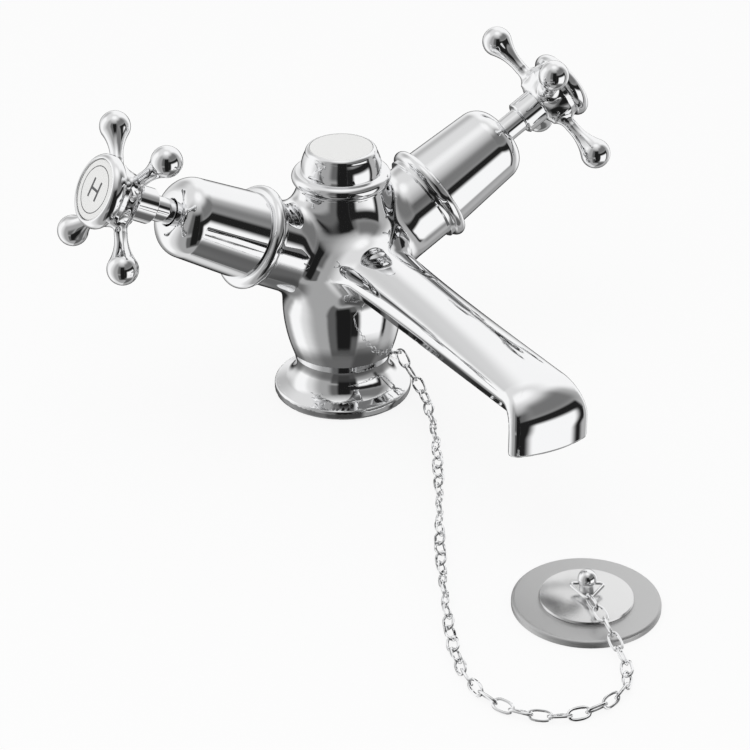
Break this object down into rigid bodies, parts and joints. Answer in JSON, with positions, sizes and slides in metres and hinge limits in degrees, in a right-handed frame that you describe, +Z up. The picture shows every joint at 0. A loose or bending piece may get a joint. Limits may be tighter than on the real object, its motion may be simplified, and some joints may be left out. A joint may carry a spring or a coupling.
{
  "type": "basin mixer tap",
  "caption": "Chrome basin mixer with angled cross-handle valves, a tapering cast spout, and a plug on a link chain with its slotted waste",
  "frame": {"origin": "centre of the mixer's deck flange, on its underside", "axes": "+Z up, the spout points to -Y, the hot valve is at -X and the cold valve at +X"},
  "size_m": [0.2083, 0.2479, 0.1872],
  "materials": {
    "chrome": "bright chrome plate",
    "satin_chrome": "satin",
    "ceramic": "glazed ceramic",
    "valve_ceramic": "lapped ceramic",
    "brass": "machined",
    "steel": "zinc plated",
    "rubber": "matte",
    "plastic": "matte"
  },
  "bodies": {
    "mixer": {"base_gasket": "rubber", "chain_main": "chrome", "chain_stay": "chrome", "chain_tail": "chrome", "cold_bell_cover": "chrome", "cold_cartridge_body": "brass", "cold_collar_ring": "chrome", "cold_fixed_disc": "valve_ceramic", "cold_seat_washer": "rubber", "fixing_nut": "brass", "fixing_stud": "brass", "hot_bell_cover": "chrome", "hot_cartridge_body": "brass", "hot_collar_ring": "chrome", "hot_fixed_disc": "valve_ceramic", "hot_seat_washer": "rubber", "mixer_body": "chrome", "outlet_straightener": "plastic", "rubber_horseshoe": "rubber", "steel_horseshoe": "steel", "top_cap": "chrome", "top_cap_seal": "rubber", "top_index_disc": "ceramic", "waste_backnut": "brass", "waste_body": "satin_chrome", "waste_washer": "rubber"},
    "hot_handle": {"hot_spindle": "chrome", "hot_moving_disc": "valve_ceramic", "hot_spindle_o_ring": "rubber", "hot_circlip": "steel", "hot_handle_sleeve": "chrome", "hot_handle_cross": "chrome", "hot_handle_bezel": "chrome", "hot_index_disc": "ceramic", "hot_handle_screw": "steel"},
    "cold_handle": {"cold_spindle": "chrome", "cold_moving_disc": "valve_ceramic", "cold_spindle_o_ring": "rubber", "cold_circlip": "steel", "cold_handle_sleeve": "chrome", "cold_handle_cross": "chrome", "cold_handle_bezel": "chrome", "cold_index_disc": "ceramic", "cold_handle_screw": "steel"},
    "plug_unit": {"plug": "chrome", "plug_seal": "rubber", "plug_post": "chrome", "plug_nut": "brass", "chain_end": "chrome"},
    "shackle_unit": {"plug_shackle": "chrome"}
  },
  "joints": [
    {"name": "hot_handle_turn", "type": "hinge", "parent": "mixer", "child": "hot_handle", "pos_m": [0, 0, 0.0521], "axis": [-0.8755, 0, 0.4833], "range_deg": [0, 90]},
    {"name": "cold_handle_turn", "type": "hinge", "parent": "mixer", "child": "cold_handle", "pos_m": [0, 0, 0.0521], "axis": [0.8755, 0, 0.4833], "range_deg": [-90, 0]},
    {"name": "plug_lift", "type": "slide", "parent": "mixer", "child": "plug_unit", "axis": [0, 0, 1], "range_m": [0, 0.025], "deforming": ["chain_tail"]},
    {"name": "shackle_swing", "type": "hinge", "parent": "plug_unit", "child": "shackle_unit", "pos_m": [0, -0.168, 0.0086], "axis": [-0.8712, 0.4909, 0], "range_deg": [0, 60], "deforming": ["chain_end"]}
  ]
}
